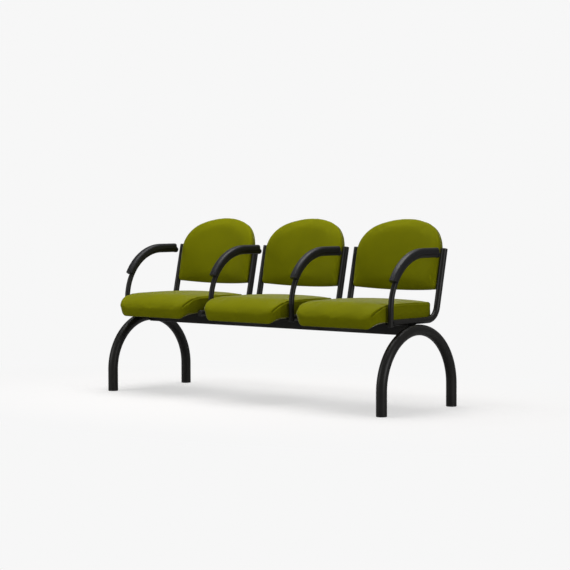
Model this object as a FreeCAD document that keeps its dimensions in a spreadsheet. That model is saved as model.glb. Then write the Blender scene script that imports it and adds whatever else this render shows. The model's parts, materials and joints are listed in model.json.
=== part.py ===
import FreeCAD, Part
import math
import os
import Sketcher
from FreeCAD import Placement, Rotation, Vector

# Beam seating: three upholstered seats on one steel beam between two arched tube legs.
# Frame: +X along the beam, +Y towards the rear, +Z up, origin on the floor at the middle of the footprint.

doc = FreeCAD.newDocument("BeamSeating")

# Driving sizes, in millimetres and degrees
SIZES = [
    ("seat_pitch", 572, "spacing of the seat centres along the beam"),
    ("frame_shift", -9.17, "arch centre line from the middle of the footprint"),
    ("leg_offset", 841, "arch plane from the middle of the beam"),
    ("leg_dia", 48.3, "outside diameter of the arch tube"),
    ("leg_wall", 2.6, "wall of the arch tube"),
    ("leg_half_span", 258, "half the spacing of the two feet of one arch"),
    ("leg_apex", 361.9, "height of the tube's centre at the top of the arch"),
    ("glide_height", 7, "thickness of the foot glide under the tube"),
    ("glide_plug", 22, "length of the glide's plug inside the tube"),
    ("glide_edge", 2, "bevel round the foot glide's floor face"),
    ("glide_rib", 1.4, "height of the grip ribs on the glide's plug"),
    ("plug_gap", 0.1, "clearance of plugs and coped ends"),
    ("plug_reach", 14, "length of a cap's plug inside its tube"),
    ("cap_height", 3.5, "height of a flat cap's head"),
    ("cap_round", 2.5, "rounding of a flat cap's head"),
    ("beam_size", 50, "side of the square beam tube"),
    ("beam_wall", 3, "wall of the beam tube"),
    ("beam_corner", 5, "outside corner radius of the beam tube"),
    ("beam_top", 386, "height of the beam's upper face"),
    ("beam_half", 815.5, "half the length of the beam"),
    ("spigot_wall", 4, "wall of the spigot that joins beam and arch"),
    ("spigot_reach", 70, "length of the spigot inside the beam"),
    ("spigot_gap", 0.2, "clearance between spigot and beam on each side"),
    ("spigot_bolt_near", 16, "first spigot bolt from the beam's end"),
    ("spigot_bolt_far", 50, "second spigot bolt from the beam's end"),
    ("bolt_radius", 4, "shank radius of the frame bolts"),
    ("bolt_head", 7.5, "corner radius of the frame bolts' hexagon heads"),
    ("bolt_head_height", 5.3, "height of the frame bolts' heads"),
    ("screw_radius", 3, "shank radius of the seat screws"),
    ("screw_head", 5.5, "corner radius of the seat screws' heads"),
    ("screw_head_height", 4, "height of the seat screws' heads"),
    ("hole_gap", 0.3, "clearance of a hole round its bolt"),
    ("side_half", 253, "plane of a side tube from its seat's centre"),
    ("side_dia", 28.6, "outside diameter of the side tube"),
    ("side_wall", 2, "wall of the side tube"),
    ("side_bend", 70, "bend radius of the side tube"),
    ("rail_front", 178, "front end of a bare rail, ahead of the arch centre"),
    ("lean", 12.6, "backward lean of the uprights in degrees"),
    ("upright_y", 161, "upright's centre line behind the arch centre at the next height"),
    ("upright_z", 423, "height at which the upright's place is given"),
    ("upright_top", 714, "height of the upright's upper end"),
    ("arm_dia", 25, "outside diameter of the arm tube"),
    ("arm_wall", 2, "wall of the arm tube"),
    ("arm_front", 171, "arm post's centre ahead of the arch centre"),
    ("arm_height", 690.8, "height of the arm tube's level run"),
    ("arm_bend", 235, "bend radius of the arm tube"),
    ("arm_foot", 385, "height of the arm post's lower end"),
    ("arm_rear", 166, "rear end of the arm tube behind the arch centre"),
    ("pad_rear", 161, "rear end of the arm pad behind the arch centre"),
    ("pad_half", 19, "half width of the arm pad"),
    ("pad_skirt", 6, "pad's lower edge above the tube's centre line"),
    ("pad_rise", 31.5, "pad's upper face above the tube's centre line"),
    ("pad_corner", 13, "rounding of the pad's upper edges"),
    ("pad_crown", 70, "radius of the pad's slightly crowned top"),
    ("pad_chamfer", 1.5, "width of the bevel under the pad's sides"),
    ("arm_cap_brim", 1.5, "arm end cap's head beyond the tube"),
    ("arm_cap_height", 16, "height of the arm end cap's domed head"),
    ("arm_cap_round", 9, "rounding of the arm end cap's head"),
    ("pad_low_angle", 29.5, "where the pad ends on the arm's bend, above level"),
    ("carrier_offset", 150, "carrier plate's centre from the seat's centre"),
    ("carrier_width", 60, "width of a carrier plate along the beam"),
    ("carrier_half", 118, "half the depth of a carrier plate"),
    ("carrier_thick", 7, "thickness of a carrier plate"),
    ("carrier_corner", 8, "corner radius of a carrier plate"),
    ("bolt_inset", 12, "carrier bolts from the plate's long edges"),
    ("strap_offset", 90, "cross strap's centre from the arch centre"),
    ("strap_width", 40, "width of a cross strap"),
    ("strap_thick", 8, "thickness of a cross strap"),
    ("screw_offset", 95, "seat screws from the seat's centre"),
    ("board_half", 205, "half width of the moulded seat board"),
    ("board_thick", 10, "thickness of the moulded seat board"),
    ("board_rear", 140, "rear edge of the seat board behind the arch centre"),
    ("board_bend_y", 180, "start of the board's waterfall ahead of the arch centre"),
    ("board_bend", 45, "inside radius of the board's waterfall"),
    ("board_drop", 40, "angle of the board's waterfall"),
    ("board_corner", 30, "rounding of the board's rear corners"),
    ("soft_gap", 0.4, "clearance between a soft part and its board"),
    ("seat_half", 231, "half width of the seat cushion"),
    ("seat_rear", 156, "rear face of the seat cushion behind the arch centre"),
    ("seat_front", 269, "front of the seat cushion ahead of the arch centre"),
    ("seat_corner", 48, "plan radius of the cushion's front corners"),
    ("seat_edge", 478, "height of the seam along the cushion's sides"),
    ("seat_crown", 488, "height of the cushion's crown"),
    ("seat_lip", 371, "height of the cushion's lower front edge"),
    ("seat_roll", 155, "start of the cushion's front roll ahead of the arch centre"),
    ("seat_slope", 150, "start of the slope under the cushion's front"),
    ("seat_rear_round", 14, "rounding of the cushion's rear upper edge"),
    ("back_half", 236, "half width of the backrest"),
    ("back_sag", 30, "depth of the backrest's hollow over its width"),
    ("back_low", 107, "lower edge of the backrest along the lean"),
    ("back_spring", 275, "where the backrest's arched top begins along the lean"),
    ("back_top", 441, "top of the backrest along the lean"),
    ("back_shoulder", 150, "radius of the backrest's upper corners"),
    ("back_corner", 14, "radius of the backrest's lower corners"),
    ("back_face", 20, "cushion's front edge ahead of the uprights' centre line"),
    ("back_board_front", 2, "board's front edge ahead of the uprights' centre line"),
    ("back_board_thick", 9, "thickness of the moulded back board"),
    ("back_pad_thick", 8, "thickness of the rear upholstered pad"),
    ("back_round", 9, "rounding of the back cushion's front edge"),
    ("board_inset", 9, "back board's edge inside the cushion's outline"),
    ("pad_inset", 3, "rear pad's edge inside the cushion's outline"),
    ("bracket_low", 185, "lower brackets along the lean"),
    ("bracket_high", 275, "upper brackets along the lean"),
    ("bracket_turn", 13.3, "bracket screws round the backrest's curve, in degrees"),
    ("bracket_height", 30, "height of a bracket tab"),
    ("bracket_thick", 3, "thickness of a bracket tab"),
    ("bracket_reach", 50, "reach of a bracket tab from its upright's centre"),
    ("slot_depth", 7, "depth of the rear pad's slot round a bracket tab"),
    ("back_screw", 2.5, "shank radius of the back screws"),
    ("back_screw_head", 4.75, "head radius of the back screws"),
    ("back_screw_grip", 6.5, "depth of the back screws in the board"),
]

sheet = doc.addObject("Spreadsheet::Sheet", "Sizes")
for row, (alias, value, note) in enumerate(SIZES, start=1):
    sheet.set(f"A{row}", alias)
    sheet.set(f"B{row}", str(value))
    sheet.setAlias(f"B{row}", alias)
    sheet.set(f"C{row}", note)
doc.recompute()
print("sizes", len(SIZES))


class Size:
    """A length or angle: its number, and the sheet expression that gives it."""

    def __init__(self, number, text=None):
        self.number = float(number)
        self.text = text if text is not None else str(number)

    def join(self, other, sign, number):
        return Size(number, f"({self.text} {sign} {other.text})")

    def __add__(self, other):
        other = as_size(other)
        return self.join(other, "+", self.number + other.number)

    def __sub__(self, other):
        other = as_size(other)
        return self.join(other, "-", self.number - other.number)

    def __mul__(self, other):
        other = as_size(other)
        return self.join(other, "*", self.number * other.number)

    def __truediv__(self, other):
        other = as_size(other)
        return self.join(other, "/", self.number / other.number)

    def __neg__(self):
        return Size(-self.number, f"(-1 * {self.text})")

    def __radd__(self, other):
        return as_size(other) + self

    def __rsub__(self, other):
        return as_size(other) - self

    def __rmul__(self, other):
        return as_size(other) * self


def as_size(value):
    return value if isinstance(value, Size) else Size(value)


def root(value):
    return Size(math.sqrt(value.number), f"sqrt({value.text})")


def sine(angle):
    return Size(math.sin(math.radians(angle.number)), f"sin({angle.text} * 1 deg)")


def cosine(angle):
    return Size(math.cos(math.radians(angle.number)), f"cos({angle.text} * 1 deg)")


def tangent(angle):
    return Size(math.tan(math.radians(angle.number)), f"tan({angle.text} * 1 deg)")


class Sheet:
    """Reads a named size from the sheet."""

    def __getattr__(self, alias):
        return Size(sheet.get(alias), f"Sizes.{alias}")


s = Sheet()

# Sizes that follow from the driving ones
arch_radius = s.leg_half_span
arch_centre_z = s.leg_apex - arch_radius
beam_centre_z = s.beam_top - s.beam_size / 2
rail_z = s.beam_top + s.side_dia / 2
strap_top = s.beam_top + s.carrier_thick + s.strap_thick
half_turn = (90 - s.lean) / 2
bend_corner_y = s.upright_y - (s.upright_z - rail_z) * tangent(s.lean)
bend_start_y = bend_corner_y - s.side_bend * tangent(half_turn)
bend_end_y = bend_start_y + s.side_bend * cosine(s.lean)
bend_end_z = rail_z + s.side_bend * (1 - sine(s.lean))
upright_end_y = s.upright_y + (s.upright_top - s.upright_z) * tangent(s.lean)
arm_arc_z = s.arm_height - s.arm_bend
arm_arc_y = s.arm_bend - s.arm_front
seat_x = {seat: (seat - 2) * s.seat_pitch for seat in (1, 2, 3)}

nodes = []


def place(piece, x=0, y=0, z=0, lean=False):
    """Bind a sub-part's placement; y is counted from the arch centre line."""
    for axis, value in (("x", as_size(x)), ("y", s.frame_shift + y), ("z", as_size(z))):
        piece.setExpression(f"Placement.Base.{axis}", value.text)
    if lean:
        piece.Placement.Rotation = Rotation(Vector(1, 0, 0), -s.lean.number)
        piece.setExpression("Placement.Rotation.Angle", "-1 deg * Sizes.lean")
    nodes.append(piece)
    return piece


def new_body(label):
    body = doc.addObject("PartDesign::Body", label)
    body.Label = label
    return body


def new_sketch(body, name, plane, offset=None):
    """A sketch on one of the body's own origin planes: XY, XZ or YZ."""
    sketch = body.newObject("Sketcher::SketchObject", name)
    support = next(f for f in body.Origin.OriginFeatures if f.Role == f"{plane}_Plane")
    sketch.AttachmentSupport = (support, [""])
    sketch.MapMode = "FlatFace"
    if offset is not None:
        sketch.setExpression("AttachmentOffset.Base.z", as_size(offset).text)
    return sketch


def lock(sketch, geometry, point, x, y):
    """Tie a point of a sketch to two sheet expressions."""
    for kind, value in (("DistanceX", x), ("DistanceY", y)):
        value = as_size(value)
        index = sketch.addConstraint(Sketcher.Constraint(kind, geometry, point, value.number))
        sketch.setExpression(f"Constraints[{index}]", value.text)


def add_circle(sketch, x, y, radius):
    x, y, radius = as_size(x), as_size(y), as_size(radius)
    circle = Part.Circle(Vector(x.number, y.number, 0), Vector(0, 0, 1), radius.number)
    geometry = sketch.addGeometry(circle)
    lock(sketch, geometry, 3, x, y)
    index = sketch.addConstraint(Sketcher.Constraint("Radius", geometry, radius.number))
    sketch.setExpression(f"Constraints[{index}]", radius.text)


def minor_arc(start, end, radius, turn):
    """The arc of under a half circle from start to end; turn is 1 anticlockwise, -1 clockwise."""
    chord = end - start
    middle = (start + end) / 2
    rise = math.sqrt(max(radius ** 2 - chord.Length ** 2 / 4, 0))
    normal = Vector(-chord.y, chord.x, 0).normalize()
    centre = middle + normal * rise * turn
    first, last = (start, end) if turn > 0 else (end, start)
    angles = [math.atan2(p.y - centre.y, p.x - centre.x) for p in (first, last)]
    if angles[1] < angles[0]:
        angles[1] += 2 * math.pi
    circle = Part.Circle(centre, Vector(0, 0, 1), radius)
    return Part.ArcOfCircle(circle, angles[0], angles[1])


def draw_path(sketch, corners, arcs=None, closed=True):
    """Lines and arcs through the corners; arcs maps an edge's number to (radius, turn)."""
    arcs = arcs or {}
    corners = [(as_size(x), as_size(y)) for x, y in corners]
    count = len(corners) if closed else len(corners) - 1
    ends = []
    for number in range(count):
        start, end = (Vector(x.number, y.number, 0)
                      for x, y in (corners[number], corners[(number + 1) % len(corners)]))
        if number in arcs:
            radius, turn = as_size(arcs[number][0]), arcs[number][1]
            geometry = sketch.addGeometry(minor_arc(start, end, radius.number, turn))
            index = sketch.addConstraint(Sketcher.Constraint("Radius", geometry, radius.number))
            sketch.setExpression(f"Constraints[{index}]", radius.text)
            ends.append((geometry, 1, 2) if turn > 0 else (geometry, 2, 1))
        else:
            geometry = sketch.addGeometry(Part.LineSegment(start, end))
            ends.append((geometry, 1, 2))
    for number, (geometry, first, last) in enumerate(ends):
        lock(sketch, geometry, first, *corners[number])
        if closed or number + 1 < len(ends):
            following = ends[(number + 1) % len(ends)]
            sketch.addConstraint(
                Sketcher.Constraint("Coincident", geometry, last, following[0], following[1]))
        else:
            lock(sketch, geometry, last, *corners[-1])


def pad(body, sketch, length, middle=False):
    feature = body.newObject("PartDesign::Pad", f"{body.Name}_pad")
    feature.Profile = sketch
    feature.setExpression("Length", as_size(length).text)
    feature.SideType = "Symmetric" if middle else "One side"
    doc.recompute()


def pocket(body, sketch, depth=None, up=False):
    """Cut a sketch to a depth, or right through both ways, and make sure that it removed something."""
    before = body.Shape.Volume
    feature = body.newObject("PartDesign::Pocket", f"{body.Name}_cut")
    feature.Profile = sketch
    if depth is None:
        feature.Type = "ThroughAll"
        feature.SideType = "Symmetric"
    else:
        feature.setExpression("Length", as_size(depth).text)
        feature.Reversed = up
    doc.recompute()
    if body.Shape.Volume > before - 1:
        raise RuntimeError(f"{feature.Name} cuts nothing")


def soften(body, radius, edges):
    """Fillet the given edges of a body's last feature."""
    names = [f"Edge{number}" for number, edge in enumerate(body.Shape.Edges, start=1)
             if any(edge.isSame(chosen) for chosen in edges)]
    last = body.Tip
    feature = body.newObject("PartDesign::Fillet", f"{body.Name}_rounding{len(body.Group)}")
    feature.Base = (last, names)
    feature.setExpression("Radius", as_size(radius).text)
    doc.recompute()


def pipe(body, profile, spine):
    feature = body.newObject("PartDesign::AdditivePipe", f"{body.Name}_pipe")
    feature.Profile = profile
    feature.Spine = (spine, [])
    doc.recompute()


def revolve(body, sketch):
    """Turn a half section, drawn right of the vertical sketch axis, about that axis."""
    feature = body.newObject("PartDesign::Revolution", f"{body.Name}_turn")
    feature.Profile = sketch
    feature.ReferenceAxis = (sketch, ["V_Axis"])
    feature.Angle = 360
    doc.recompute()


# Arched legs: one bent steel tube each
def leg_arch(label, side):
    body = new_body(label)
    spine = new_sketch(body, f"{label}_spine", "YZ")
    start = s.glide_height
    corners = [(-arch_radius, start), (-arch_radius, arch_centre_z), (0, s.leg_apex),
               (arch_radius, arch_centre_z), (arch_radius, start)]
    draw_path(spine, corners, {1: (arch_radius, -1), 2: (arch_radius, -1)}, closed=False)
    profile = new_sketch(body, f"{label}_section", "XY", start)
    add_circle(profile, 0, -arch_radius, s.leg_dia / 2)
    add_circle(profile, 0, -arch_radius, s.leg_dia / 2 - s.leg_wall)
    pipe(body, profile, spine)
    return place(body, side * s.leg_offset)


# Foot glides: a flange under the tube and a hollow plug with three grip ribs inside it
def foot_glide(label, side, end):
    body = new_body(label)
    half = new_sketch(body, f"{label}_half", "XZ")
    rim = s.leg_dia / 2
    grip = rim - s.leg_wall - s.plug_gap
    neck = grip - s.glide_rib
    edge = s.glide_edge
    base, top = s.glide_height, s.glide_height + s.glide_plug
    corners = [(0, 0), (rim - edge, 0), (rim, edge), (rim, base), (neck, base)]
    for rib in range(3):
        foot = base + 2 + rib * s.glide_plug / 3
        corners += [(neck, foot), (grip, foot + 1), (grip, foot + 3), (neck, foot + 4)]
    corners += [(neck, top - 1), (neck - 3, top), (neck - 3, base), (0, base)]
    draw_path(half, corners)
    revolve(body, half)
    return place(body, side * s.leg_offset, end * s.leg_half_span)


for side, side_name in ((-1, "left"), (1, "right")):
    leg_arch(f"leg_arch_{side_name}", side)
    for end, end_name in ((-1, "front"), (1, "rear")):
        foot_glide(f"foot_glide_{side_name}_{end_name}", side, end)


def rounded_rectangle(half_x, half_y, radius, middle_x=0, middle_y=0):
    """Corners and arcs of a rectangle with rounded corners, for draw_path."""
    half_x, half_y, radius = as_size(half_x), as_size(half_y), as_size(radius)
    corners = []
    for x_sign, y_sign, first in ((1, -1, "y"), (1, 1, "x"), (-1, 1, "y"), (-1, -1, "x")):
        x, y = middle_x + x_sign * half_x, middle_y + y_sign * half_y
        on_side = (x, y - y_sign * radius)
        on_end = (x - x_sign * radius, y)
        corners += [on_end, on_side] if first == "y" else [on_side, on_end]
    return corners, {number: (radius, 1) for number in (0, 2, 4, 6)}


def primitive(kind, name, **sizes):
    """A plain solid whose dimensions are bound to the sheet."""
    piece = doc.addObject(f"Part::{kind}", name)
    for key, value in sizes.items():
        piece.setExpression(key, as_size(value).text)
    return piece


def move(piece, x=0, y=0, z=0, axis=None, angle=0):
    """Place a helper solid inside its own sub-part."""
    if axis is not None:
        piece.Placement.Rotation = Rotation(axis, angle)
    for name, value in (("x", x), ("y", y), ("z", z)):
        piece.setExpression(f"Placement.Base.{name}", as_size(value).text)
    return piece


def boolean(kind, name, base, tool):
    piece = doc.addObject(f"Part::{kind}", name)
    piece.Base, piece.Tool = base, tool
    return piece


def group(label, pieces):
    """Identical small pieces in one sub-part, each still a solid of its own."""
    compound = doc.addObject("Part::Compound", label)
    compound.Label = label
    compound.Links = pieces
    return compound


# Beam: a square tube with bolt holes in its upper wall and in its rear wall at the ends
bolt_spread = s.carrier_width / 2 - s.bolt_inset
bolt_places = [seat_x[seat] + side * s.carrier_offset + end * bolt_spread
               for seat in seat_x for side in (-1, 1) for end in (-1, 1)]
spigot_places = [side * (s.beam_half - inset)
                 for side in (-1, 1) for inset in (s.spigot_bolt_near, s.spigot_bolt_far)]
bolt_hole = s.bolt_radius + s.hole_gap


def beam():
    body = new_body("beam")
    section = new_sketch(body, "beam_section", "YZ")
    half, inner = s.beam_size / 2, s.beam_size / 2 - s.beam_wall
    draw_path(section, *rounded_rectangle(half, half, s.beam_corner, 0, beam_centre_z))
    draw_path(section, *rounded_rectangle(inner, inner, s.beam_corner - s.beam_wall, 0, beam_centre_z))
    pad(body, section, s.beam_half * 2, middle=True)
    holes = new_sketch(body, "beam_top_holes", "XY", s.beam_top - s.beam_wall - 2)
    for x in bolt_places:
        add_circle(holes, x, 0, bolt_hole)
    pocket(body, holes, s.beam_wall + 4, up=True)
    rear = new_sketch(body, "beam_rear_holes", "XZ", -(half - s.beam_wall - 2))
    for x in spigot_places:
        add_circle(rear, x, beam_centre_z, bolt_hole)
    pocket(body, rear, s.beam_wall + 4)
    return place(body)


beam()


# Spigots: short square tubes welded to the arches, coped to the round tube, inside the beam's ends
def spigot(side, side_name):
    label = f"beam_spigot_{side_name}"
    body = new_body(f"{label}_blank")
    inner_end = s.beam_half - s.spigot_reach
    start = inner_end if side > 0 else -s.leg_offset
    section = new_sketch(body, f"{label}_section", "YZ", start)
    outer = s.beam_size / 2 - s.beam_wall - s.spigot_gap
    corner = s.beam_corner - s.beam_wall + 1
    draw_path(section, *rounded_rectangle(outer, outer, corner, 0, beam_centre_z))
    inner = outer - s.spigot_wall
    draw_path(section, *rounded_rectangle(inner, inner, corner / 3, 0, beam_centre_z))
    pad(body, section, s.leg_offset - inner_end)
    ring = primitive("Torus", f"{label}_cope", Radius1=arch_radius, Radius2=s.leg_dia / 2 + s.plug_gap)
    move(ring, side * s.leg_offset, 0, arch_centre_z, Vector(0, 1, 0), 90)
    coped = boolean("Cut", f"{label}_coped", body, ring)
    drills = []
    for number, inset in enumerate((s.spigot_bolt_near, s.spigot_bolt_far)):
        hole = primitive("Cylinder", f"{label}_hole{number}", Radius=bolt_hole, Height=s.beam_size)
        x = side * (s.beam_half - inset)
        drills.append(move(hole, x, s.spigot_wall, beam_centre_z, Vector(1, 0, 0), -90))
    piece = boolean("Cut", label, coped, group(f"{label}_holes", drills))
    piece.Label = label
    return place(piece)


def hex_bolt(name, head_radius, head_height, shank_radius, shank_length):
    """A bolt standing on its head's underside: head above z 0, shank below."""
    head = primitive("Prism", f"{name}_head", Circumradius=head_radius, Height=head_height)
    shank = primitive("Cylinder", f"{name}_shank", Radius=shank_radius, Height=shank_length)
    move(shank, 0, 0, -as_size(shank_length))
    return boolean("Fuse", name, head, shank)


def frame_bolt(name, length):
    return hex_bolt(name, s.bolt_head, s.bolt_head_height, s.bolt_radius, length)


for side, side_name in ((-1, "left"), (1, "right")):
    spigot(side, side_name)

spigot_bolt_length = s.beam_wall + s.spigot_gap + s.spigot_wall + 5
spigot_bolts = [move(frame_bolt(f"spigot_bolt{number}", spigot_bolt_length), x, s.beam_size / 2,
                     beam_centre_z, Vector(1, 0, 0), -90)
                for number, x in enumerate(spigot_places)]
place(group("spigot_bolts", spigot_bolts))


# Side tubes: rail, bend and leaning upright in one bent tube
def side_tube(label, x, armed):
    body = new_body(label)
    front = s.arm_front - 6 if armed else s.rail_front
    spine = new_sketch(body, f"{label}_spine", "YZ")
    corners = [(-front, rail_z), (bend_start_y, rail_z), (bend_end_y, bend_end_z),
               (upright_end_y, s.upright_top)]
    draw_path(spine, corners, {1: (s.side_bend, 1)}, closed=False)
    profile = new_sketch(body, f"{label}_section", "XZ", front)
    add_circle(profile, 0, rail_z, s.side_dia / 2)
    add_circle(profile, 0, rail_z, s.side_dia / 2 - s.side_wall)
    pipe(body, profile, spine)
    if armed:
        cope = new_sketch(body, f"{label}_cope", "XY")
        add_circle(cope, 0, -s.arm_front, s.arm_dia / 2 + s.plug_gap)
        pocket(body, cope)
    return place(body, x)


# Arm tubes: a post in front of the rail, one large bend and a level run that ends free
def arm_tube(label, x):
    body = new_body(label)
    spine = new_sketch(body, f"{label}_spine", "YZ")
    corners = [(-s.arm_front, s.arm_foot), (-s.arm_front, arm_arc_z), (arm_arc_y, s.arm_height),
               (s.arm_rear, s.arm_height)]
    draw_path(spine, corners, {1: (s.arm_bend, -1)}, closed=False)
    profile = new_sketch(body, f"{label}_section", "XY", s.arm_foot)
    add_circle(profile, 0, -s.arm_front, s.arm_dia / 2)
    add_circle(profile, 0, -s.arm_front, s.arm_dia / 2 - s.arm_wall)
    pipe(body, profile, spine)
    return place(body, x)


# Arm pads: a moulded saddle over the upper half of the arm tube, along its bend
def arm_pad(label, x):
    body = new_body(label)
    low_y = arm_arc_y - s.arm_bend * cosine(s.pad_low_angle)
    low_z = arm_arc_z + s.arm_bend * sine(s.pad_low_angle)
    spine = new_sketch(body, f"{label}_spine", "YZ")
    corners = [(s.pad_rear, s.arm_height), (arm_arc_y, s.arm_height), (low_y, low_z)]
    draw_path(spine, corners, {1: (s.arm_bend, 1)}, closed=False)
    profile = new_sketch(body, f"{label}_section", "XZ", -s.pad_rear)
    seat_radius = s.arm_dia / 2 + s.plug_gap
    lip = root(seat_radius * seat_radius - s.pad_skirt * s.pad_skirt)
    low, high = s.arm_height + s.pad_skirt, s.arm_height + s.pad_rise
    half, round_ = s.pad_half, s.pad_corner
    foot = half - s.pad_chamfer
    corners = [(foot, low), (half, low + 2), (half, high - round_), (half - round_, high),
               (round_ - half, high), (-half, high - round_), (-half, low + 2), (-foot, low),
               (-lip, low), (lip, low)]
    arcs = {2: (round_, 1), 3: (s.pad_crown, 1), 4: (round_, 1), 8: (seat_radius, -1)}
    draw_path(profile, corners, arcs)
    pipe(body, profile, spine)
    return place(body, x)


side_tubes = {}
for seat, middle in seat_x.items():
    for side, side_name in ((-1, "left"), (1, "right")):
        armed = (seat, side) in ((1, -1), (2, -1), (2, 1), (3, 1))
        x = middle + side * s.side_half
        side_tube(f"seat{seat}_{side_name}_side_tube", x, armed)
        side_tubes[seat, side] = (x, armed)
        if armed:
            arm_tube(f"seat{seat}_{side_name}_arm_tube", x)
            arm_pad(f"seat{seat}_{side_name}_arm_pad", x)


# End caps: moulded plugs with a rounded head, axis along +Z from the tube's end
def end_plug(name, head_radius, plug_radius, head_height=s.cap_height, rounding=s.cap_round):
    head = primitive("Cylinder", f"{name}_head", Radius=head_radius, Height=head_height)
    plug = primitive("Cylinder", f"{name}_plug", Radius=plug_radius, Height=s.plug_reach)
    move(plug, 0, 0, -s.plug_reach)
    doc.recompute()
    rounded = doc.addObject("Part::Fillet", f"{name}_rounded")
    rounded.Base = head
    rim = next(number for number, edge in enumerate(head.Shape.Edges, start=1)
               if edge.Closed and edge.BoundBox.ZMin > head_height.number - 0.01)
    rounded.Edges = [(rim, rounding.number, rounding.number)]
    return boolean("Fuse", name, rounded, plug)


side_bore = s.side_dia / 2 - s.side_wall - s.plug_gap
arm_bore = s.arm_dia / 2 - s.arm_wall - s.plug_gap
upright_caps, rail_caps, post_caps, arm_caps = [], [], [], []
for number, ((seat, side), (x, armed)) in enumerate(side_tubes.items()):
    cap = end_plug(f"upright_cap{number}", s.side_dia / 2, side_bore)
    upright_caps.append(move(cap, x, upright_end_y, s.upright_top, Vector(1, 0, 0), -s.lean.number))
    if armed:
        cap = end_plug(f"post_cap{number}", s.arm_dia / 2, arm_bore)
        post_caps.append(move(cap, x, -s.arm_front, s.arm_foot, Vector(1, 0, 0), 180))
        cap = end_plug(f"arm_cap{number}", s.arm_dia / 2 + s.arm_cap_brim, arm_bore,
                       s.arm_cap_height, s.arm_cap_round)
        arm_caps.append(move(cap, x, s.arm_rear, s.arm_height, Vector(1, 0, 0), -90))
    else:
        cap = end_plug(f"rail_cap{number}", s.side_dia / 2, side_bore)
        rail_caps.append(move(cap, x, -s.rail_front, rail_z, Vector(1, 0, 0), 90))
place(group("upright_caps", upright_caps))
place(group("rail_front_caps", rail_caps))
place(group("arm_post_caps", post_caps))
place(group("arm_end_caps", arm_caps))


# Carrier plates: drilled steel plates on the beam, two under each seat
def carrier_plate(label, x):
    body = new_body(label)
    outline = new_sketch(body, f"{label}_outline", "XY", s.beam_top)
    draw_path(outline, *rounded_rectangle(s.carrier_width / 2, s.carrier_half, s.carrier_corner))
    for end in (-1, 1):
        add_circle(outline, end * bolt_spread, 0, bolt_hole)
    pad(body, outline, s.carrier_thick)
    return move(body, x)


# Cross straps: flat bars from rail to rail, coped to the round tubes and welded to the carriers
def cross_strap(label, x, y):
    body = new_body(label)
    bottom = s.beam_top + s.carrier_thick
    outline = new_sketch(body, f"{label}_outline", "XY", bottom)
    half_x, half_y = s.side_half - 3, s.strap_width / 2
    draw_path(outline, [(half_x, -half_y), (half_x, half_y), (-half_x, half_y), (-half_x, -half_y)])
    for end in (-1, 1):
        add_circle(outline, end * s.screw_offset, 0, s.screw_radius + s.hole_gap)
    pad(body, outline, s.strap_thick)
    copes = new_sketch(body, f"{label}_copes", "XZ")
    for end in (-1, 1):
        add_circle(copes, end * s.side_half, rail_z, s.side_dia / 2 + s.plug_gap)
    pocket(body, copes)
    return move(body, x, y)


# Seat board: moulded plywood with a waterfall front
def seat_board(label, x):
    body = new_body(label)
    side = new_sketch(body, f"{label}_side", "YZ")
    low, high = strap_top, strap_top + s.board_thick
    bend, outer = s.board_bend, s.board_bend + s.board_thick
    rim = [(-s.board_bend_y - radius * sine(s.board_drop),
            low - bend + radius * cosine(s.board_drop)) for radius in (outer, bend)]
    corners = [(s.board_rear, low), (s.board_rear, high), (-s.board_bend_y, high), *rim,
               (-s.board_bend_y, low)]
    draw_path(side, corners, {2: (outer, 1), 4: (bend, -1)})
    pad(body, side, s.board_half * 2, middle=True)
    holes = new_sketch(body, f"{label}_holes", "XY", low - 1)
    for end in (-1, 1):
        for row in (-1, 1):
            add_circle(holes, end * s.screw_offset, row * s.strap_offset, s.screw_radius + s.hole_gap)
    pocket(body, holes, s.board_thick - 1, up=True)
    soften(body, s.board_corner, [
        edge for edge in body.Shape.Edges
        if abs(edge.BoundBox.ZLength - s.board_thick.number) < 0.01
        and edge.CenterOfMass.y > s.board_rear.number - 1])
    return place(body, x)


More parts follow.
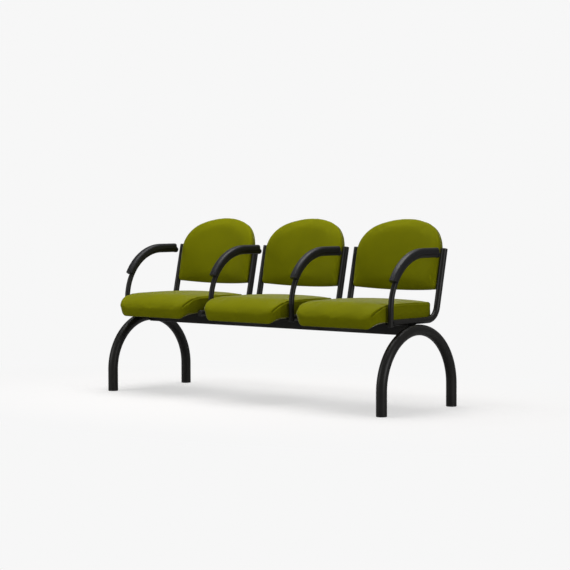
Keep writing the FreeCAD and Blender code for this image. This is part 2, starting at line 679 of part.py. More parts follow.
# Seat cushion: crowned boxed cushion, rolled over at the front, lofted from side to side
def seat_section(x):
    """The cushion's outline at one distance from its middle: crowned top, rolled front, sloping lip."""
    half, corner = s.seat_half.number, s.seat_corner.number
    part = abs(x) / half
    inside = max(abs(x) - (half - corner), 0)
    front = -s.seat_front.number + corner - math.sqrt(corner ** 2 - inside ** 2)
    rear = s.seat_rear.number - 3 * part ** 6
    bottom = strap_top.number + s.soft_gap.number
    edge = s.seat_edge.number
    top = edge + (s.seat_crown.number - edge) * (1 - part ** 2) - 4 * part ** 40
    slope_start, roll_start = -s.seat_slope.number, -s.seat_roll.number
    run = (slope_start - front) / (slope_start + s.seat_front.number)
    lip = bottom - (bottom - s.seat_lip.number) * (1 - 0.35 * part ** 2) * run
    middle = 0.45 * top + 0.55 * lip - 6
    round_rear = s.seat_rear_round.number
    rear_top = top - 5

    def roll(angle):
        a = math.radians(angle)
        return Vector(x, roll_start + (front - roll_start) * math.sin(a),
                      middle + (top - 3 - middle) * math.cos(a))

    def point(y, z):
        return Vector(x, y, z)

    corner_mid = round_rear * (1 - math.sqrt(0.5))
    edges = [
        Part.LineSegment(point(rear, bottom), point(rear, rear_top - round_rear)),
        Part.Arc(point(rear, rear_top - round_rear), point(rear - corner_mid, rear_top - corner_mid),
                 point(rear - round_rear, rear_top)),
        Part.Arc(point(rear - round_rear, rear_top), point(10, top), point(roll_start, top - 3)),
        Part.Arc(roll(0), roll(24), roll(48)),
        Part.Arc(roll(48), roll(69), roll(90)),
        Part.Arc(point(front, middle), point(front + 2, (middle + lip + 9) / 2),
                 point(front + 8, lip + 8)),
        Part.Arc(point(front + 8, lip + 8), point(front + 11.5, lip + 2.6), point(front + 18, lip)),
        Part.LineSegment(point(front + 18, lip), point(slope_start, bottom)),
        Part.LineSegment(point(slope_start, bottom), point(rear, bottom)),
    ]
    return Part.Wire([edge.toShape() for edge in edges])


def seat_cushion(label, x):
    half, corner = s.seat_half.number, s.seat_corner.number
    steps = [half, half - 4, half - 0.35 * corner, half - corner, 0.42 * half]
    stations = [-step for step in steps] + [0] + steps[::-1]
    solid = Part.makeLoft([seat_section(station) for station in stations], True, False)
    gap = s.soft_gap.number
    low, high = strap_top.number, strap_top.number + s.board_thick.number + gap
    bend = s.board_bend.number
    outer, inner = bend + s.board_thick.number + gap, bend - gap
    start, drop = -s.board_bend_y.number, math.radians(s.board_drop.number)
    reach = drop + gap / bend

    def rim(radius, angle):
        return Vector(0, start - radius * math.sin(angle), low - bend + radius * math.cos(angle))

    rear = s.board_rear.number + gap
    floor = low - gap - 1
    outline = [
        Part.LineSegment(Vector(0, rear, floor), Vector(0, rear, high)),
        Part.LineSegment(Vector(0, rear, high), rim(outer, 0)),
        Part.Arc(rim(outer, 0), rim(outer, reach / 2), rim(outer, reach)),
        Part.LineSegment(rim(outer, reach), rim(inner, reach)),
        Part.Arc(rim(inner, reach), rim(inner, reach / 2), rim(inner, 0)),
        Part.LineSegment(rim(inner, 0), Vector(0, start, floor)),
        Part.LineSegment(Vector(0, start, floor), Vector(0, rear, floor)),
    ]
    width = (s.board_half.number + gap) * 2
    recess = Part.Face(Part.Wire([edge.toShape() for edge in outline])).extrude(Vector(width, 0, 0))
    recess.translate(Vector(-width / 2, 0, 0))
    piece = doc.addObject("Part::Feature", label)
    piece.Label = label
    piece.Shape = solid.cut(recess)
    return place(piece, x)


seat_screws = []
for seat, x in seat_x.items():
    place(group(f"seat{seat}_carriers", [
        carrier_plate(f"carrier{seat}_{side_name}", x + side * s.carrier_offset)
        for side, side_name in ((-1, "left"), (1, "right"))]))
    place(group(f"seat{seat}_cross_straps", [
        cross_strap(f"strap{seat}_{row_name}", x, row * s.strap_offset)
        for row, row_name in ((-1, "front"), (1, "rear"))]))
    for row in (-1, 1):
        for end in (-1, 1):
            screw = hex_bolt(f"seat_screw{len(seat_screws)}", s.screw_head, s.screw_head_height,
                             s.screw_radius, s.strap_thick + 6)
            seat_screws.append(move(screw, x + end * s.screw_offset, row * s.strap_offset,
                                    s.beam_top + s.carrier_thick, Vector(1, 0, 0), 180))
    seat_board(f"seat{seat}_board", x)
    seat_cushion(f"seat{seat}_cushion", x)
place(group("seat_screws", seat_screws))
plate_top = s.beam_top + s.carrier_thick
carrier_bolt_length = s.carrier_thick + s.beam_wall + 8
place(group("carrier_bolts", [
    move(frame_bolt(f"carrier_bolt{number}", carrier_bolt_length), x, 0, plate_top)
    for number, x in enumerate(bolt_places)]))


# Backrest: all its pieces lean with the uprights, in a frame whose Z follows them
back_radius = (s.back_half * s.back_half + s.back_sag * s.back_sag) / (2 * s.back_sag)
board_front = -s.back_board_front
board_rear_face = board_front + s.back_board_thick
back_centre_y = board_rear_face + s.back_sag - back_radius
blank_low = s.back_low - 5
blank_height = s.back_top - s.back_low + 10
bracket_places = [(height, side) for height in (s.bracket_low, s.bracket_high) for side in (-1, 1)]


def back_outline(sketch, inset=0):
    """Straight sides, small lower corners and an arched top of three tangent arcs."""
    half, low = s.back_half - inset, s.back_low + inset
    spring, top = s.back_spring, s.back_top - inset
    rise = top - spring
    small = s.back_shoulder - inset
    large = ((half - small) * (half - small) + rise * rise - small * small) / (2 * (rise - small))
    reach = large - small
    join_x = (half - small) * large / reach
    join_z = top - large + (large - rise) * large / reach
    corner = s.back_corner
    corners = [(half - corner, low), (half, low + corner), (half, spring), (join_x, join_z),
               (-join_x, join_z), (-half, spring), (-half, low + corner), (corner - half, low)]
    arcs = {0: (corner, 1), 2: (small, 1), 3: (large, 1), 4: (small, 1), 6: (corner, 1)}
    draw_path(sketch, corners, arcs)


def curved_section(sketch, front, rear, front_sag, rear_sag):
    """A plan section hollow towards the front, with one arc for each of its two faces."""
    half = s.back_half + 6
    faces = []
    for middle, sag in ((front + front_sag, front_sag), (rear + rear_sag, rear_sag)):
        radius = (s.back_half * s.back_half + sag * sag) / (2 * sag)
        faces.append((middle - radius + root(radius * radius - half * half), radius))
    (front_edge, front_radius), (rear_edge, rear_radius) = faces
    corners = [(-half, front_edge), (half, front_edge), (half, rear_edge), (-half, rear_edge)]
    draw_path(sketch, corners, {0: (front_radius, -1), 2: (rear_radius, 1)})


def trim_to_outline(body, inset=0):
    """Cut away what lies outside the backrest's outline."""
    trim = new_sketch(body, f"{body.Name}_outline", "XZ")
    far = s.back_half + 60
    low, high = s.back_low - 60, s.back_top + 60
    draw_path(trim, [(-far, low), (far, low), (far, high), (-far, high)])
    back_outline(trim, inset)
    return pocket(body, trim)


def curved_blank(label, front, rear, inset):
    """A sheet of the backrest's curve between two depths, trimmed to its outline."""
    body = new_body(label)
    section = new_sketch(body, f"{label}_section", "XY", blank_low)
    curved_section(section, front, rear, s.back_sag, s.back_sag)
    pad(body, section, blank_height)
    trim_to_outline(body, inset)
    return body


def bracket_rods(name, radius, start, length):
    """Cylinders square to the curved back, one at each bracket; start is counted from the board's rear."""
    turn = s.bracket_turn
    reach = back_radius + start
    rods = []
    for height, side in bracket_places:
        rod = primitive("Cylinder", f"{name}{len(rods)}", Radius=radius, Height=length)
        move(rod, side * reach * sine(turn), back_centre_y + reach * cosine(turn), height)
        rod.Placement.Rotation = (Rotation(Vector(0, 0, 1), -side * turn.number)
                                  * Rotation(Vector(1, 0, 0), -90))
        rods.append(rod)
    return rods


def lean_back(label, base, tool, x):
    """The cut piece, set on the leaning frame."""
    piece = boolean("Cut", label, base, tool)
    piece.Label = label
    return place(piece, x, s.upright_y, s.upright_z, lean=True)


def back_board(label, x):
    body = curved_blank(f"{label}_blank", board_front, board_rear_face, s.board_inset)
    depth = s.back_screw_grip + 0.5
    holes = bracket_rods(f"{label}_hole", s.back_screw + 0.2, -depth, depth + 1)
    return lean_back(label, body, group(f"{label}_holes", holes), x)


def back_cushion(label, x):
    """Foam over the board's front and round its edge, flush with its rear."""
    body = new_body(f"{label}_blank")
    sections = []
    rear = board_rear_face - s.soft_gap
    for number, (height, bulge) in enumerate((
            (s.back_low - 15, -5), ((s.back_low + s.back_top) / 2, 2), (s.back_top + 15, -6))):
        sketch = new_sketch(body, f"{label}_section{number}", "XY", height)
        curved_section(sketch, -s.back_face - bulge, rear, s.back_sag - 6, s.back_sag)
        sections.append(sketch)
    loft = body.newObject("PartDesign::AdditiveLoft", f"{label}_loft")
    loft.Profile = sections[0]
    loft.Sections = sections[1:]
    loft.Ruled = False
    doc.recompute()
    trim_to_outline(body)
    front_face = min((face for face in body.Shape.Faces if face.Area > 50000),
                     key=lambda face: face.CenterOfMass.y)
    soften(body, s.back_round, front_face.Edges)
    recess = curved_blank(f"{label}_recess", board_front - s.soft_gap, board_rear_face + 1,
                          s.board_inset - s.soft_gap)
    return lean_back(label, body, recess, x)


def back_pad(label, x):
    face = board_rear_face + s.soft_gap
    body = curved_blank(f"{label}_blank", face, face + s.back_pad_thick, s.pad_inset)
    slots = []
    for height, side in bracket_places:
        slot = primitive("Box", f"{label}_slot{len(slots)}", Length=60, Width=s.slot_depth,
                         Height=s.bracket_height + 6)
        turn = -side * s.bracket_turn
        corner_x, corner_y = -30, -0.6
        x_place = corner_x * cosine(turn) - (corner_y + back_radius) * sine(turn)
        y_place = corner_x * sine(turn) + (corner_y + back_radius) * cosine(turn)
        move(slot, x_place, back_centre_y + y_place, height - s.bracket_height / 2 - 3)
        slot.Placement.Rotation = Rotation(Vector(0, 0, 1), turn.number)
        slots.append(slot)
    return lean_back(label, body, group(f"{label}_slots", slots), x)


def back_brackets(label, x):
    """Curved steel tabs welded to the uprights and coped to them, flat on the board's rear."""
    tabs = []
    for height, side in bracket_places:
        name = f"{label}_tab{len(tabs)}"
        curves = []
        for curve_name, radius in (("outer", back_radius + s.bracket_thick), ("inner", back_radius)):
            curve = primitive("Cylinder", f"{name}_{curve_name}", Radius=radius,
                              Height=s.bracket_height)
            curves.append(move(curve, 0, back_centre_y, height - s.bracket_height / 2))
        strip = boolean("Cut", f"{name}_strip", *curves)
        window = primitive("Box", f"{name}_window", Length=s.bracket_reach, Width=80,
                           Height=s.bracket_height * 2)
        inner_x = s.side_half - s.bracket_reach if side > 0 else -s.side_half
        move(window, inner_x, -40, height - s.bracket_height)
        piece = boolean("Common", f"{name}_piece", strip, window)
        tube = primitive("Cylinder", f"{name}_tube", Radius=s.side_dia / 2 + s.plug_gap,
                         Height=s.bracket_height * 2)
        move(tube, side * s.side_half, 0, height - s.bracket_height)
        tabs.append(boolean("Cut", name, piece, tube))
    holes = bracket_rods(f"{label}_hole", s.back_screw + 0.5, -4, 12)
    return lean_back(label, group(f"{label}_tabs", tabs), group(f"{label}_holes", holes), x)


def back_screws(label, x):
    """Button head screws through the tabs into the board."""
    grip = s.back_screw_grip
    shanks = bracket_rods(f"{label}_shank", s.back_screw, -grip, grip + s.bracket_thick + 0.1)
    heads = bracket_rods(f"{label}_head", s.back_screw_head, s.bracket_thick + 0.02, 2.6)
    screws = [boolean("Fuse", f"{label}_screw{number}", shank, head)
              for number, (shank, head) in enumerate(zip(shanks, heads))]
    return place(group(label, screws), x, s.upright_y, s.upright_z, lean=True)


for seat, x in seat_x.items():
    back_board(f"seat{seat}_back_board", x)
    back_cushion(f"seat{seat}_back_cushion", x)
    back_pad(f"seat{seat}_back_rear_pad", x)
    back_brackets(f"seat{seat}_back_brackets", x)
    back_screws(f"seat{seat}_back_screws", x)


# Recompute, check every object and write one file per sub-part
doc.recompute()
failed = [o.Name for o in doc.Objects if "Invalid" in o.State or "Error" in o.State]
if failed:
    raise RuntimeError(f"failed objects: {failed}")
os.makedirs("parts", exist_ok=True)
total = 0
for node in nodes:
    shape = node.Shape
    if shape.isNull() or not shape.isValid():
        raise RuntimeError(f"{node.Label} has no valid shape")
    shape.exportStep(f"parts/{node.Label}.step")
    total += len(shape.Solids)
print("nodes", len(nodes), "solids", total)
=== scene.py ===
# %% [markdown]
# # Beam seating
#
# Three upholstered seats share one square steel beam, which hangs between two arched tube
# legs. The steel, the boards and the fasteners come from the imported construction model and
# keep their shape: here they get paint, grain and plating. The soft parts are made again,
# because foam under a sewn cover bulges between its seams in a way that a plain solid
# doesn't show.

# %% Load the fixed frame
import cmath
import json
import math

import bmesh
import bpy
import numpy as np
from mathutils import Matrix, Vector


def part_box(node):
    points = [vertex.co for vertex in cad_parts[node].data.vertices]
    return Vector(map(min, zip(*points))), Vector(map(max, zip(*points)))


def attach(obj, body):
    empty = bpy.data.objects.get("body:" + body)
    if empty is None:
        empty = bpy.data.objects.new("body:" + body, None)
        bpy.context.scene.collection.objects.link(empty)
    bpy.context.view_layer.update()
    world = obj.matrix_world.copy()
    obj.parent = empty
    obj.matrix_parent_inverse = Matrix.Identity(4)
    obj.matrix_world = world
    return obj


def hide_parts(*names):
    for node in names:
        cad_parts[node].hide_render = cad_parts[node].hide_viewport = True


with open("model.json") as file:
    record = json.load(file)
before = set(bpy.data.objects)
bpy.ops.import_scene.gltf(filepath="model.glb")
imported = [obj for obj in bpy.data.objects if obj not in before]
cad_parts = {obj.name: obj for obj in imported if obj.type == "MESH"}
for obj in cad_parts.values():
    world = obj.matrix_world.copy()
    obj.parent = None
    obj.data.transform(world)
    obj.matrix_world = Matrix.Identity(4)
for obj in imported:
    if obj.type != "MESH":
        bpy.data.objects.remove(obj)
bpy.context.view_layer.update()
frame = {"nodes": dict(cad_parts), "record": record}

scene = bpy.context.scene
scene.view_settings.view_transform = "Standard"
ALL = "root"

# %% [markdown]
# ## Camera
#
# The picture was taken from a little above the armrests, well to the right of the bench's
# front, with a long lens. The camera was worked out from the beam, the arches and the tubes
# and stands here as one place, three angles and a focal length. A matrix sets the angles
# directly, so no tracking constraint has to be cleared up afterwards.

# %% Camera at the photograph's viewpoint
PICTURE_WIDTH = 570
FOCAL_PIXELS = 1735.0
SENSOR = 36.0
AZIMUTH, ELEVATION, ROLL = (math.radians(angle) for angle in (41.0654, 2.5992, -0.1762))

low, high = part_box("leg_arch_left")
ARCH_Y = (low.y + high.y) / 2
camera_place = Vector((5.4302, ARCH_Y - 6.1572, 0.9104))

forward = Vector((-math.sin(AZIMUTH) * math.cos(ELEVATION),
                  math.cos(AZIMUTH) * math.cos(ELEVATION), -math.sin(ELEVATION)))
level = Vector((math.cos(AZIMUTH), math.sin(AZIMUTH), 0))
upright = level.cross(forward)
right = level * math.cos(ROLL) + upright * math.sin(ROLL)
up = upright * math.cos(ROLL) - level * math.sin(ROLL)

lens = bpy.data.cameras.new("camera")
lens.sensor_width = SENSOR
lens.lens = FOCAL_PIXELS / PICTURE_WIDTH * SENSOR
camera = bpy.data.objects.new("camera", lens)
camera.matrix_world = (Matrix.Translation(camera_place)
                       @ Matrix((right, up, -forward)).transposed().to_4x4())
scene.collection.objects.link(camera)
scene.camera = camera
print("lens", round(lens.lens, 1), "mm")

# %% [markdown]
# ## Nodes as arithmetic
#
# A finish is a small network of nodes. Two helpers keep it readable: `Signal` wraps a node's
# output, so that `0.2 + 0.8 * mask` adds the Math nodes it needs, and `Finish.node` adds any
# other node from its type, its settings and its sockets. The alternative, one line per node
# and per link, hides the sum that the network works out.

# %% A wrapped socket
class Signal:
    def __init__(self, finish, socket):
        self.finish, self.socket = finish, socket

    def math(self, operation, *others):
        return self.finish.math(operation, self, *others)

    def __add__(self, other):
        return self.math("ADD", other)

    def __sub__(self, other):
        return self.math("SUBTRACT", other)

    def __mul__(self, other):
        return self.math("MULTIPLY", other)

    def __truediv__(self, other):
        return self.math("DIVIDE", other)

    def __pow__(self, other):
        return self.math("POWER", other)

    def __rsub__(self, other):
        return self.finish.math("SUBTRACT", other, self)

    __radd__, __rmul__ = __add__, __mul__

    def __abs__(self):
        return self.math("ABSOLUTE")


# %% A material, or the world, and the one method that adds its nodes
class Finish:
    def __init__(self, name, library=bpy.data.materials):
        self.holder = library.new(name)
        self.holder.use_nodes = True
        self.tree = self.holder.node_tree
        self.tree.nodes.clear()

    def node(self, kind, settings=None, sockets=None, output=0):
        made = self.tree.nodes.new(kind)
        for key, value in (settings or {}).items():
            if key == "stops":
                self.set_stops(made.color_ramp, value)
            else:
                setattr(made, key, value)
        for key, value in (sockets or {}).items():
            if isinstance(value, Signal):
                self.tree.links.new(value.socket, made.inputs[key])
            else:
                made.inputs[key].default_value = value
        return Signal(self, made.outputs[output] if made.outputs else None)

    def set_stops(self, ramp, stops):
        while len(ramp.elements) < len(stops):
            ramp.elements.new(0.5)
        for element, (position, value) in zip(ramp.elements, stops):
            element.position = position
            element.color = (value, value, value, 1)

    def math(self, operation, *values):
        return self.node("ShaderNodeMath", {"operation": operation}, dict(enumerate(values)))

    def place(self):
        return self.node("ShaderNodeTexCoord", output="Object")

    def axes(self, vector):
        split = self.node("ShaderNodeSeparateXYZ", sockets={0: vector}).socket.node
        return [Signal(self, output) for output in split.outputs]

    def noise(self, scale, detail, vector=None):
        return self.node("ShaderNodeTexNoise", sockets={
            "Scale": scale, "Detail": detail, "Vector": vector or self.place()})

    def ramp(self, signal, *stops):
        return self.node("ShaderNodeValToRGB", {"stops": stops}, {0: signal})

    def blend(self, factor, first, second):
        return self.node("ShaderNodeMix", {"data_type": "RGBA"},
                         {0: factor, 6: (*first, 1), 7: (*second, 1)}, output=2)

    def bump(self, height, distance, strength):
        return self.node("ShaderNodeBump", sockets={
            "Height": height, "Distance": distance, "Strength": strength})

    def shade(self, **sockets):
        named = {key.replace("_", " "): value for key, value in sockets.items()}
        surface = self.node("ShaderNodeBsdfPrincipled", sockets=named)
        self.node("ShaderNodeOutputMaterial", sockets={"Surface": surface})
        print("finish", self.holder.name, "nodes", len(self.tree.nodes))
        return self.holder


# %% [markdown]
# ## Floor, backdrop and lamps
#
# The bench stands in an almost white studio. A wide pale floor catches the soft shadow, and
# fades with distance into the backdrop's colour, so no horizon shows. Part of what the
# camera sees of the floor is a glow, which keeps the shadow faint, and the light that the
# floor throws back is that of a greyer floor, which keeps the undersides dark. The camera
# sees the backdrop through Light Path, while the light itself comes from a level sky and
# three large lamps: one overhead, because the seats are bright on top, a weak one to the
# front on the left, and a weak one far to the right, towards the sides that the camera sees.

# %% World
BACKDROP = (0.93, 0.93, 0.93)
SKY_LEVEL = 0.24

studio = Finish("studio", bpy.data.worlds)
scene.world = studio.holder
seen = studio.node("ShaderNodeLightPath", output="Is Camera Ray").math(
    "MAXIMUM", studio.node("ShaderNodeLightPath", output="Is Transmission Ray"))
sky = studio.node("ShaderNodeBackground", sockets={"Color": (1, 1, 1, 1), "Strength": SKY_LEVEL})
backdrop = studio.node("ShaderNodeBackground", sockets={"Color": (*BACKDROP, 1)})
either = studio.node("ShaderNodeMixShader", sockets={0: seen, 1: sky, 2: backdrop})
studio.node("ShaderNodeOutputWorld", sockets={"Surface": either})
print("sky", SKY_LEVEL, "nodes", len(studio.tree.nodes))

# %% Lamps
LAMP_AIM = Vector((0, 0, 0.5))


def softbox(name, place, size, level):
    """A square lamp; level is how bright it makes a white surface that faces it."""
    lamp = bpy.data.lights.new(name, "AREA")
    lamp.shape, lamp.size = "SQUARE", size
    reach = LAMP_AIM - Vector(place)
    lamp.energy = level * math.pi ** 2 * reach.length_squared
    holder = bpy.data.objects.new(name, lamp)
    holder.location = place
    holder.rotation_euler = reach.to_track_quat("-Z", "Y").to_euler()
    scene.collection.objects.link(holder)
    return holder


lamps = [softbox("overhead", (-0.3, 0.1, 3.4), 2.4, 1.12),
         softbox("front_left", (-2.2, -3.6, 1.7), 1.8, 0.16),
         softbox("right_fill", (4.5, -0.6, 1.3), 1.6, 0.17)]
print("lamps", len(lamps))

# %% Floor
FLOOR_HALF = 14.0
OVAL, FADE_START, FADE_END = (1, 1.6, 1), 0.8, 2.4
NEAR_GLOW, NEAR_SHARE = (1.01, 1.01, 1.01), 0.55
PAPER_COLOUR, BOUNCE_COLOUR = (0.93, 0.91, 0.90), (0.42, 0.42, 0.42)

floor_mesh = bpy.data.meshes.new("floor")
floor_mesh.from_pydata([(x * FLOOR_HALF, y * FLOOR_HALF, 0) for x, y in
                        ((-1, -1), (1, -1), (1, 1), (-1, 1))], [], [(0, 1, 2, 3)])
floor = bpy.data.objects.new("floor", floor_mesh)
scene.collection.objects.link(floor)

paper = Finish("studio_paper")
oval = paper.node("ShaderNodeVectorMath", {"operation": "MULTIPLY"},
                  {0: paper.place(), 1: OVAL})
distance = paper.node("ShaderNodeVectorMath", {"operation": "LENGTH"}, {0: oval}, "Value")
fade = paper.node("ShaderNodeMapRange", {"interpolation_type": "SMOOTHSTEP"},
                  {"Value": distance, "From Min": FADE_START, "From Max": FADE_END,
                   "To Min": 0.0, "To Max": 1.0})
camera_ray = paper.node("ShaderNodeLightPath", output="Is Camera Ray")
matt = paper.node("ShaderNodeBsdfDiffuse", sockets={
    "Color": paper.blend(camera_ray, BOUNCE_COLOUR, PAPER_COLOUR)})
glow = paper.node("ShaderNodeEmission", sockets={"Color": paper.blend(fade, NEAR_GLOW, BACKDROP)})
glow_share = (NEAR_SHARE + (1 - NEAR_SHARE) * fade) * camera_ray
both = paper.node("ShaderNodeMixShader", sockets={0: glow_share, 1: matt, 2: glow})
paper.node("ShaderNodeOutputMaterial", sockets={"Surface": both})
floor_mesh.materials.append(paper.holder)
print("floor", FLOOR_HALF * 2, "m")

# %% [markdown]
# ## Fabric
#
# The covers are a flat woven wool mix in olive green. Seen almost edge on, the seats turn
# paler and greyer than the backs, which is the fuzz of the fibres, so the shader's sheen
# makes it. The weave has to survive remeshing, which loses UV maps, so it is worked out from
# the place in space: a plain weave on each of the three planes, and the surface's normal
# says how much of each to show. The covers made further down carry a point attribute named
# seam, high in each sewn groove, and there the fabric's colour is darkened as painted shade.

# %% Weave height on one plane
THREAD = 0.0013


def plain_weave(first, second):
    """Crossing threads that pass over and under each other on a square grid."""
    first, second = first / THREAD, second / THREAD
    across = abs((first * math.pi).math("SINE"))
    along = abs((second * math.pi).math("SINE"))
    over = (first.math("FLOOR") + second.math("FLOOR")).math("PINGPONG", 1)
    return along + (across - along) * over


# %% Green upholstery fabric
# How much shade is painted into the sewn grooves.
SEAM_SHADE = 0.7


def upholstery(name, dark, light):
    cloth = Finish(name)
    x, y, z = cloth.axes(cloth.place())
    normal = cloth.node("ShaderNodeNewGeometry", output="Normal")
    nx, ny, nz = (abs(part) ** 4 for part in cloth.axes(normal))
    height = (plain_weave(y, z) * nx + plain_weave(x, z) * ny
              + plain_weave(x, y) * nz) / (nx + ny + nz)
    yarn = cloth.noise(420, 3)
    nap = cloth.noise(9, 2)
    # Painted shade and highlight: the weave height makes the colour lighter on the threads' crests
    # and darker in the gaps between them; yarn and nap add random tone.
    tone = 0.5 * height + 0.35 * yarn + 0.45 * nap - 0.15
    seam = cloth.node("ShaderNodeAttribute", {"attribute_name": "seam"}, output="Fac")
    # Painted shade: the colour is darkened along each sewn groove, where the seam attribute is
    # high.
    shaded = tone.math("MINIMUM", 1).math("MAXIMUM", 0) - SEAM_SHADE * seam
    return cloth.shade(
        Base_Color=cloth.blend(shaded, dark, light), Roughness=0.95 - 0.15 * height,
        Sheen_Weight=0.42, Sheen_Roughness=0.2, Specular_IOR_Level=0.04,
        Normal=cloth.bump(height + 0.6 * yarn, 0.00025, 0.7))


green_fabric = upholstery("green_fabric", (0.122, 0.127, 0.001), (0.245, 0.253, 0.002))

# %% [markdown]
# ## Powder coat, moulded black parts, plating and plywood
#
# The steel has a satin black powder coat: thick, a little dimpled like orange peel, with
# pale scuffs low on the legs where shoes and mops touch it. The arm pads are self-skinned
# foam with a fine leathery grain. Caps and glides are duller moulded plastic, bolts are zinc
# plated, and the boards are beech plywood with long fibres.

# %% Satin black powder coat
SCUFF_TOP = 0.16


def powder_coat():
    paint = Finish("black_powder_coat")
    _, _, height = paint.axes(paint.place())
    peel = paint.noise(1100, 1)
    cloud = paint.noise(7, 3)
    low_down = paint.node("ShaderNodeMapRange", sockets={
        "Value": height, "From Min": SCUFF_TOP, "From Max": 0.0, "To Min": 0.0, "To Max": 1.0})
    scuff = paint.ramp(paint.noise(38, 4), (0.60, 0.0), (0.68, 1.0)) * low_down
    colour = paint.blend(0.35 * scuff + 0.25 * cloud,
                         (0.0055, 0.0050, 0.0042), (0.034, 0.032, 0.028))
    return paint.shade(
        Base_Color=colour, Roughness=0.36 + 0.10 * cloud + 0.2 * scuff, Specular_IOR_Level=0.36,
        Normal=paint.bump(peel, 0.00006, 0.5))


# %% Self-skinned foam for the arm pads
def skin_foam():
    foam = Finish("pad_skin_foam")
    cells = foam.node("ShaderNodeTexVoronoi", {"feature": "DISTANCE_TO_EDGE"},
                      {"Vector": foam.place(), "Scale": 520})
    grain = foam.ramp(cells, (0.0, 0.0), (0.16, 1.0))
    rub = foam.noise(14, 3)
    colour = foam.blend(0.5 * rub + 0.2 * grain, (0.005, 0.005, 0.006), (0.017, 0.017, 0.020))
    return foam.shade(
        Base_Color=colour, Roughness=0.44 + 0.12 * rub - 0.06 * grain, Specular_IOR_Level=0.32,
        Normal=foam.bump(grain, 0.00008, 0.6))


# %% Moulded plastic for caps and glides
def moulded_plastic():
    plastic = Finish("moulded_black_plastic")
    speckle = plastic.noise(900, 2)
    cloud = plastic.noise(30, 2)
    colour = plastic.blend(cloud, (0.009, 0.009, 0.009), (0.020, 0.020, 0.020))
    return plastic.shade(
        Base_Color=colour, Roughness=0.48 + 0.12 * speckle,
        Normal=plastic.bump(speckle, 0.00004, 0.5))


# %% Zinc plated fasteners
def zinc_plate():
    zinc = Finish("zinc_plate")
    bloom = zinc.noise(160, 3)
    colour = zinc.blend(bloom, (0.42, 0.42, 0.40), (0.62, 0.62, 0.60))
    return zinc.shade(
        Base_Color=colour, Metallic=1.0, Roughness=0.28 + 0.2 * bloom,
        Normal=zinc.bump(bloom, 0.00003, 0.4))


# %% Beech plywood
def beech_plywood():
    beech = Finish("beech_plywood")
    x, y, z = beech.axes(beech.place())
    stretched = beech.node("ShaderNodeCombineXYZ", sockets={0: x * 6, 1: y * 90, 2: z * 90})
    fibre = beech.noise(3.0, 4, stretched)
    flecks = beech.ramp(beech.noise(8.0, 2, stretched), (0.55, 0.0), (0.72, 1.0))
    colour = beech.blend(0.8 * fibre + 0.25 * flecks, (0.56, 0.38, 0.21), (0.34, 0.20, 0.10))
    return beech.shade(
        Base_Color=colour, Roughness=0.42 + 0.15 * fibre,
        Normal=beech.bump(fibre, 0.00008, 0.4))


# %% Give every construction node its finish
finishes = {
    "green_fabric": green_fabric,
    "black_frame": powder_coat(),
    "pad_black": skin_foam(),
    "cap_black": moulded_plastic(),
    "zinc_steel": zinc_plate(),
    "plywood": beech_plywood(),
}
for part in frame["record"]["subparts"]:
    solid = frame["nodes"][part["node"]]
    for holder in solid.material_slots:
        holder.material = finishes[part["material_slot"]]

# %% [markdown]
# ## Soft parts
#
# A remeshed foam block rounds off every sewn edge, so each cover is laid out here the way it
# is cut: as closed loops of points, one loop beside the next, with loops close together along
# a seam. The loops join into one skin. Then the skin is blown up like a balloon for a few
# frames, with its seams and the side on the board held still, so that the panels crown
# between them. The movement is capped, because a real cover stretches little over its foam.
# Last, each seam is pressed in as a groove between two slight rises.

# %% Points along lines and arcs
def line_points(first, last, count):
    """Evenly spaced points from first towards last, the last one left out."""
    share = np.arange(count)[:, None] / count
    return np.array(first) * (1 - share) + np.array(last) * share


def arc_points(first, middle, last, count):
    """Points on the circle through three places, the last one left out."""
    a, b, c = (complex(*place) for place in (first, middle, last))
    lean = (c - a) / (b - a)
    centre = a + (b - a) * (lean - abs(lean) ** 2) / (2j * lean.imag)
    sweep = cmath.phase((c - centre) / (a - centre))
    turned = centre + (a - centre) * np.exp(1j * sweep * np.arange(count) / count)
    return np.stack([turned.real, turned.imag], 1)


def inward(loop, amount):
    """A closed anticlockwise loop of flat points, moved towards its inside."""
    run = np.roll(loop, -1, 0) - np.roll(loop, 1, 0)
    run /= np.linalg.norm(run, axis=1, keepdims=True)
    normal = np.stack([-run[:, 1], run[:, 0]], 1)
    return loop + normal * np.broadcast_to(amount, len(loop))[:, None]


# %% One skin from a stack of loops
def skin(name, loops, first_pole, last_pole):
    """Quads between neighbouring loops, and a fan of triangles at each end."""
    size, rows = len(loops[0]), len(loops)
    points = np.vstack([*loops, first_pole, last_pole])
    faces = []
    for row in range(rows - 1):
        for column in range(size):
            after = (column + 1) % size
            low, high = row * size, (row + 1) * size
            faces.append((low + column, low + after, high + after, high + column))
    for column in range(size):
        after = (column + 1) % size
        faces.append((after, column, size * rows))
        last = size * (rows - 1)
        faces.append((last + column, last + after, size * rows + 1))
    mesh = bpy.data.meshes.new(name)
    mesh.from_pydata([tuple(point) for point in points], [], faces)
    shell = bmesh.new()
    shell.from_mesh(mesh)
    bmesh.ops.recalc_face_normals(shell, faces=shell.faces)
    shell.to_mesh(mesh)
    shell.free()
    piece = bpy.data.objects.new(name, mesh)
    scene.collection.objects.link(piece)
    return piece


# %% Reading, moving and finishing a skin
def read_points(mesh):
    points = np.empty(len(mesh.vertices) * 3)
    mesh.vertices.foreach_get("co", points)
    return points.reshape(-1, 3)


def write_points(mesh, points):
    mesh.vertices.foreach_set("co", points.astype(np.float32).ravel())
    mesh.update()


def keep_modifiers(piece):
    """Turn what the modifiers show into the piece's own mesh."""
    graph = bpy.context.evaluated_depsgraph_get()
    result = bpy.data.meshes.new_from_object(piece.evaluated_get(graph))
    piece.modifiers.clear()
    piece.data = result


def push(piece, amounts):
    """Move each point along its normal by its own amount."""
    points = read_points(piece.data)
    normals = np.empty(len(points) * 3)
    piece.data.vertex_normals.foreach_get("vector", normals)
    write_points(piece.data, points + normals.reshape(-1, 3) * amounts[:, None])


